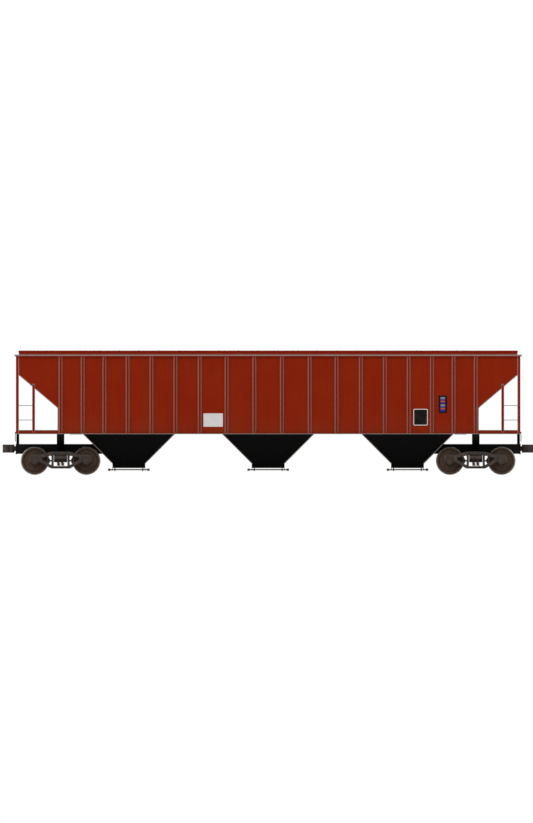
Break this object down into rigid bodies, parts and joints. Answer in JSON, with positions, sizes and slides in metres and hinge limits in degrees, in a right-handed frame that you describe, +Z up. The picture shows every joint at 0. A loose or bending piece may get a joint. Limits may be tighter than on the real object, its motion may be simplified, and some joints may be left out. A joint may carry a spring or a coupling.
{
  "type": "covered hopper car",
  "caption": "Covered hopper rail car with ribbed sides, a roof trough with hinged lids, sloped hoppers with sliding outlet gates, and swivelling trucks.",
  "frame": {"origin": "on the floor under the middle of the car, at the height of the wheel flanges' lowest points", "axes": "+X along the car towards the end without the hand brake, +Y to the car's left, +Z up"},
  "size_m": [18.296, 3.25, 4.2798],
  "materials": {
    "body_paint": "satin red-brown paint, weathered",
    "lid_paint": "satin red-brown paint on pressed lids",
    "galvanised_steel": "dull galvanised steel",
    "black_paint": "dull black paint",
    "gate_steel": "bare plate steel, dull",
    "cast_steel": "rough cast steel, dark",
    "spring_steel": "dark spring steel",
    "wheel_steel": "rolled steel, bright tread"
  },
  "bodies": {
    "car_body": {"side_sheets": "body_paint", "end_side_sheets": "body_paint", "side_posts": "body_paint", "side_sills": "body_paint", "eave_rails": "body_paint", "roof_sheets": "body_paint", "roof_end_plates": "body_paint", "hatch_coaming": "body_paint", "hatch_hinges": "body_paint", "end_sheets": "body_paint", "end_slope_sheets": "body_paint", "end_posts": "body_paint", "end_ladders": "body_paint", "end_sills": "body_paint", "running_boards": "galvanised_steel", "cross_walks": "galvanised_steel", "grab_irons": "galvanised_steel", "end_platforms": "galvanised_steel", "hopper_1_slope_sheets": "black_paint", "hopper_1_side_sheets": "black_paint", "hopper_2_slope_sheets": "black_paint", "hopper_2_side_sheets": "black_paint", "hopper_3_slope_sheets": "black_paint", "hopper_3_side_sheets": "black_paint", "ridge_caps": "black_paint", "outlet_chutes": "black_paint", "stub_sills": "black_paint", "body_bolsters": "black_paint", "air_reservoir": "black_paint", "brake_cylinder": "black_paint", "brake_valve": "black_paint", "hand_brake": "black_paint", "uncoupling_levers": "black_paint", "draft_gears": "cast_steel"},
    "truck_a": {"truck_a_side_frames": "cast_steel", "truck_a_springs": "spring_steel", "truck_a_bolster": "cast_steel", "truck_a_brake_beams": "cast_steel"},
    "truck_b": {"truck_b_side_frames": "cast_steel", "truck_b_springs": "spring_steel", "truck_b_bolster": "cast_steel", "truck_b_brake_beams": "cast_steel"},
    "wheelset_a1": {"wheelset_a1": "wheel_steel"},
    "wheelset_a2": {"wheelset_a2": "wheel_steel"},
    "wheelset_b1": {"wheelset_b1": "wheel_steel"},
    "wheelset_b2": {"wheelset_b2": "wheel_steel"},
    "hatch_lid_1": {"hatch_lid_1": "lid_paint"},
    "hatch_lid_2": {"hatch_lid_2": "lid_paint"},
    "hatch_lid_3": {"hatch_lid_3": "lid_paint"},
    "hatch_lid_4": {"hatch_lid_4": "lid_paint"},
    "outlet_gate_1": {"outlet_gate_1": "gate_steel"},
    "gate_shaft_1": {"gate_shaft_1": "gate_steel"},
    "outlet_gate_2": {"outlet_gate_2": "gate_steel"},
    "gate_shaft_2": {"gate_shaft_2": "gate_steel"},
    "outlet_gate_3": {"outlet_gate_3": "gate_steel"},
    "gate_shaft_3": {"gate_shaft_3": "gate_steel"},
    "coupler_a": {"coupler_a": "cast_steel"},
    "knuckle_a": {"knuckle_a": "cast_steel"},
    "coupler_b": {"coupler_b": "cast_steel"},
    "knuckle_b": {"knuckle_b": "cast_steel"}
  },
  "joints": [
    {"name": "truck_a_swivel", "type": "hinge", "parent": "car_body", "child": "truck_a", "pos_m": [-7.153, 0, 0.68], "axis": [0, 0, 1], "range_deg": [-8, 8]},
    {"name": "wheelset_a1_roll", "type": "hinge", "parent": "truck_a", "child": "wheelset_a1", "pos_m": [-8.042, 0, 0.483], "axis": [0, 1, 0], "continuous": true},
    {"name": "wheelset_a2_roll", "type": "hinge", "parent": "truck_a", "child": "wheelset_a2", "pos_m": [-6.264, 0, 0.483], "axis": [0, 1, 0], "continuous": true},
    {"name": "truck_b_swivel", "type": "hinge", "parent": "car_body", "child": "truck_b", "pos_m": [7.153, 0, 0.68], "axis": [0, 0, 1], "range_deg": [-8, 8]},
    {"name": "wheelset_b1_roll", "type": "hinge", "parent": "truck_b", "child": "wheelset_b1", "pos_m": [6.264, 0, 0.483], "axis": [0, 1, 0], "continuous": true},
    {"name": "wheelset_b2_roll", "type": "hinge", "parent": "truck_b", "child": "wheelset_b2", "pos_m": [8.042, 0, 0.483], "axis": [0, 1, 0], "continuous": true},
    {"name": "hatch_lid_1_hinge", "type": "hinge", "parent": "car_body", "child": "hatch_lid_1", "pos_m": [-5.13, 0.378, 4.262], "axis": [-1, 0, 0], "range_deg": [0, 135]},
    {"name": "hatch_lid_2_hinge", "type": "hinge", "parent": "car_body", "child": "hatch_lid_2", "pos_m": [-1.71, 0.378, 4.262], "axis": [-1, 0, 0], "range_deg": [0, 135]},
    {"name": "hatch_lid_3_hinge", "type": "hinge", "parent": "car_body", "child": "hatch_lid_3", "pos_m": [1.71, 0.378, 4.262], "axis": [-1, 0, 0], "range_deg": [0, 135]},
    {"name": "hatch_lid_4_hinge", "type": "hinge", "parent": "car_body", "child": "hatch_lid_4", "pos_m": [5.13, 0.378, 4.262], "axis": [-1, 0, 0], "range_deg": [0, 135]},
    {"name": "outlet_gate_1_slide", "type": "slide", "parent": "car_body", "child": "outlet_gate_1", "axis": [0, 1, 0], "range_m": [0, 0.42]},
    {"name": "gate_shaft_1_turn", "type": "hinge", "parent": "car_body", "child": "gate_shaft_1", "pos_m": [-4.8, 0.256, 0.1745], "axis": [-1, 0, 0], "range_deg": [0, 602]},
    {"name": "outlet_gate_2_slide", "type": "slide", "parent": "car_body", "child": "outlet_gate_2", "axis": [0, 1, 0], "range_m": [0, 0.42]},
    {"name": "gate_shaft_2_turn", "type": "hinge", "parent": "car_body", "child": "gate_shaft_2", "pos_m": [0, 0.256, 0.1745], "axis": [-1, 0, 0], "range_deg": [0, 602]},
    {"name": "outlet_gate_3_slide", "type": "slide", "parent": "car_body", "child": "outlet_gate_3", "axis": [0, 1, 0], "range_m": [0, 0.42]},
    {"name": "gate_shaft_3_turn", "type": "hinge", "parent": "car_body", "child": "gate_shaft_3", "pos_m": [4.8, 0.256, 0.1745], "axis": [-1, 0, 0], "range_deg": [0, 602]},
    {"name": "coupler_a_swing", "type": "hinge", "parent": "car_body", "child": "coupler_a", "pos_m": [-8.25, 0, 0.902], "axis": [0, 0, 1], "range_deg": [-7, 7]},
    {"name": "knuckle_a_swing", "type": "hinge", "parent": "coupler_a", "child": "knuckle_a", "pos_m": [-8.99, -0.12, 0.902], "axis": [0, 0, 1], "range_deg": [0, 45]},
    {"name": "coupler_b_swing", "type": "hinge", "parent": "car_body", "child": "coupler_b", "pos_m": [8.25, 0, 0.902], "axis": [0, 0, 1], "range_deg": [-7, 7]},
    {"name": "knuckle_b_swing", "type": "hinge", "parent": "coupler_b", "child": "knuckle_b", "pos_m": [8.99, 0.12, 0.902], "axis": [0, 0, 1], "range_deg": [0, 45]}
  ],
  "couplings": [
    {"joint": "gate_shaft_1_turn", "follows": "outlet_gate_1_slide", "rad_per_m": 25},
    {"joint": "gate_shaft_2_turn", "follows": "outlet_gate_2_slide", "rad_per_m": 25},
    {"joint": "gate_shaft_3_turn", "follows": "outlet_gate_3_slide", "rad_per_m": 25}
  ]
}
